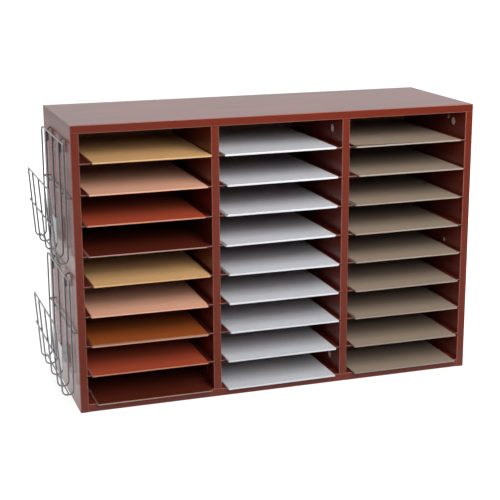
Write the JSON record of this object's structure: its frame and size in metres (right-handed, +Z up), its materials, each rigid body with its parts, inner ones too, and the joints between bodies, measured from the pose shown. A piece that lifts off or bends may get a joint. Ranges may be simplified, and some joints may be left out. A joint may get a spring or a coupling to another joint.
{
  "type": "classroom mail center",
  "caption": "Laminate literature sorter: columns of open letter-paper compartments between shelves that slide out, and wire baskets hung on one end.",
  "frame": {"origin": "centre of the cabinet's underside, where it stands on a desk", "axes": "+X to the right along the front, +Y from the open front to the back, +Z up"},
  "size_m": [0.8155, 0.273, 0.5281],
  "materials": {
    "mahogany_laminate": "mahogany-coloured printed laminate on particle board, satin",
    "shelf_laminate": "thin hardboard, mahogany-coloured film on both faces",
    "back_hardboard": "thin hardboard, mahogany-coloured film on the inner face",
    "silver_wire": "silver powder-coated steel wire",
    "zinc_alloy": "cast zinc, dull",
    "bright_steel": "bright drawn steel",
    "beech": "plain beech, fluted dowel stock"
  },
  "bodies": {
    "cabinet": {"top_board": "mahogany_laminate", "bottom_board": "mahogany_laminate", "left_side_board": "mahogany_laminate", "left_divider": "mahogany_laminate", "right_divider": "mahogany_laminate", "right_side_board": "mahogany_laminate", "back_panel": "back_hardboard", "back_nails": "bright_steel", "cam_locks": "zinc_alloy", "cam_bolts": "zinc_alloy", "dowels": "beech"},
    "shelf_left_1": {"shelf_left_1": "shelf_laminate"},
    "shelf_left_2": {"shelf_left_2": "shelf_laminate"},
    "shelf_left_3": {"shelf_left_3": "shelf_laminate"},
    "shelf_left_4": {"shelf_left_4": "shelf_laminate"},
    "shelf_left_5": {"shelf_left_5": "shelf_laminate"},
    "shelf_left_6": {"shelf_left_6": "shelf_laminate"},
    "shelf_left_7": {"shelf_left_7": "shelf_laminate"},
    "shelf_left_8": {"shelf_left_8": "shelf_laminate"},
    "shelf_centre_1": {"shelf_centre_1": "shelf_laminate"},
    "shelf_centre_2": {"shelf_centre_2": "shelf_laminate"},
    "shelf_centre_3": {"shelf_centre_3": "shelf_laminate"},
    "shelf_centre_4": {"shelf_centre_4": "shelf_laminate"},
    "shelf_centre_5": {"shelf_centre_5": "shelf_laminate"},
    "shelf_centre_6": {"shelf_centre_6": "shelf_laminate"},
    "shelf_centre_7": {"shelf_centre_7": "shelf_laminate"},
    "shelf_centre_8": {"shelf_centre_8": "shelf_laminate"},
    "shelf_right_1": {"shelf_right_1": "shelf_laminate"},
    "shelf_right_2": {"shelf_right_2": "shelf_laminate"},
    "shelf_right_3": {"shelf_right_3": "shelf_laminate"},
    "shelf_right_4": {"shelf_right_4": "shelf_laminate"},
    "shelf_right_5": {"shelf_right_5": "shelf_laminate"},
    "shelf_right_6": {"shelf_right_6": "shelf_laminate"},
    "shelf_right_7": {"shelf_right_7": "shelf_laminate"},
    "shelf_right_8": {"shelf_right_8": "shelf_laminate"},
    "upper_basket": {"upper_basket_frame_wire": "silver_wire", "upper_basket_inner_wire_1": "silver_wire", "upper_basket_inner_wire_2": "silver_wire", "upper_basket_inner_wire_3": "silver_wire", "upper_basket_back_cross_wire": "silver_wire", "upper_basket_front_cross_wire": "silver_wire", "upper_basket_floor_cross_wire": "silver_wire", "upper_basket_hooks": "silver_wire", "upper_basket_plate": "silver_wire"},
    "lower_basket": {"lower_basket_frame_wire": "silver_wire", "lower_basket_inner_wire_1": "silver_wire", "lower_basket_inner_wire_2": "silver_wire", "lower_basket_inner_wire_3": "silver_wire", "lower_basket_back_cross_wire": "silver_wire", "lower_basket_front_cross_wire": "silver_wire", "lower_basket_floor_cross_wire": "silver_wire", "lower_basket_hooks": "silver_wire", "lower_basket_plate": "silver_wire"}
  },
  "joints": [
    {"name": "shelf_left_1_slide", "type": "slide", "parent": "cabinet", "child": "shelf_left_1", "axis": [0, -1, 0], "range_m": [0, 0.27]},
    {"name": "shelf_left_2_slide", "type": "slide", "parent": "cabinet", "child": "shelf_left_2", "axis": [0, -1, 0], "range_m": [0, 0.27]},
    {"name": "shelf_left_3_slide", "type": "slide", "parent": "cabinet", "child": "shelf_left_3", "axis": [0, -1, 0], "range_m": [0, 0.27]},
    {"name": "shelf_left_4_slide", "type": "slide", "parent": "cabinet", "child": "shelf_left_4", "axis": [0, -1, 0], "range_m": [0, 0.27]},
    {"name": "shelf_left_5_slide", "type": "slide", "parent": "cabinet", "child": "shelf_left_5", "axis": [0, -1, 0], "range_m": [0, 0.27]},
    {"name": "shelf_left_6_slide", "type": "slide", "parent": "cabinet", "child": "shelf_left_6", "axis": [0, -1, 0], "range_m": [0, 0.27]},
    {"name": "shelf_left_7_slide", "type": "slide", "parent": "cabinet", "child": "shelf_left_7", "axis": [0, -1, 0], "range_m": [0, 0.27]},
    {"name": "shelf_left_8_slide", "type": "slide", "parent": "cabinet", "child": "shelf_left_8", "axis": [0, -1, 0], "range_m": [0, 0.27]},
    {"name": "shelf_centre_1_slide", "type": "slide", "parent": "cabinet", "child": "shelf_centre_1", "axis": [0, -1, 0], "range_m": [0, 0.27]},
    {"name": "shelf_centre_2_slide", "type": "slide", "parent": "cabinet", "child": "shelf_centre_2", "axis": [0, -1, 0], "range_m": [0, 0.27]},
    {"name": "shelf_centre_3_slide", "type": "slide", "parent": "cabinet", "child": "shelf_centre_3", "axis": [0, -1, 0], "range_m": [0, 0.27]},
    {"name": "shelf_centre_4_slide", "type": "slide", "parent": "cabinet", "child": "shelf_centre_4", "axis": [0, -1, 0], "range_m": [0, 0.27]},
    {"name": "shelf_centre_5_slide", "type": "slide", "parent": "cabinet", "child": "shelf_centre_5", "axis": [0, -1, 0], "range_m": [0, 0.27]},
    {"name": "shelf_centre_6_slide", "type": "slide", "parent": "cabinet", "child": "shelf_centre_6", "axis": [0, -1, 0], "range_m": [0, 0.27]},
    {"name": "shelf_centre_7_slide", "type": "slide", "parent": "cabinet", "child": "shelf_centre_7", "axis": [0, -1, 0], "range_m": [0, 0.27]},
    {"name": "shelf_centre_8_slide", "type": "slide", "parent": "cabinet", "child": "shelf_centre_8", "axis": [0, -1, 0], "range_m": [0, 0.27]},
    {"name": "shelf_right_1_slide", "type": "slide", "parent": "cabinet", "child": "shelf_right_1", "axis": [0, -1, 0], "range_m": [0, 0.27]},
    {"name": "shelf_right_2_slide", "type": "slide", "parent": "cabinet", "child": "shelf_right_2", "axis": [0, -1, 0], "range_m": [0, 0.27]},
    {"name": "shelf_right_3_slide", "type": "slide", "parent": "cabinet", "child": "shelf_right_3", "axis": [0, -1, 0], "range_m": [0, 0.27]},
    {"name": "shelf_right_4_slide", "type": "slide", "parent": "cabinet", "child": "shelf_right_4", "axis": [0, -1, 0], "range_m": [0, 0.27]},
    {"name": "shelf_right_5_slide", "type": "slide", "parent": "cabinet", "child": "shelf_right_5", "axis": [0, -1, 0], "range_m": [0, 0.27]},
    {"name": "shelf_right_6_slide", "type": "slide", "parent": "cabinet", "child": "shelf_right_6", "axis": [0, -1, 0], "range_m": [0, 0.27]},
    {"name": "shelf_right_7_slide", "type": "slide", "parent": "cabinet", "child": "shelf_right_7", "axis": [0, -1, 0], "range_m": [0, 0.27]},
    {"name": "shelf_right_8_slide", "type": "slide", "parent": "cabinet", "child": "shelf_right_8", "axis": [0, -1, 0], "range_m": [0, 0.27]},
    {"name": "upper_basket_pull_off", "type": "slide", "parent": "cabinet", "child": "upper_basket", "axis": [-1, 0, 0], "range_m": [0, 0.03]},
    {"name": "lower_basket_pull_off", "type": "slide", "parent": "cabinet", "child": "lower_basket", "axis": [-1, 0, 0], "range_m": [0, 0.03]}
  ]
}
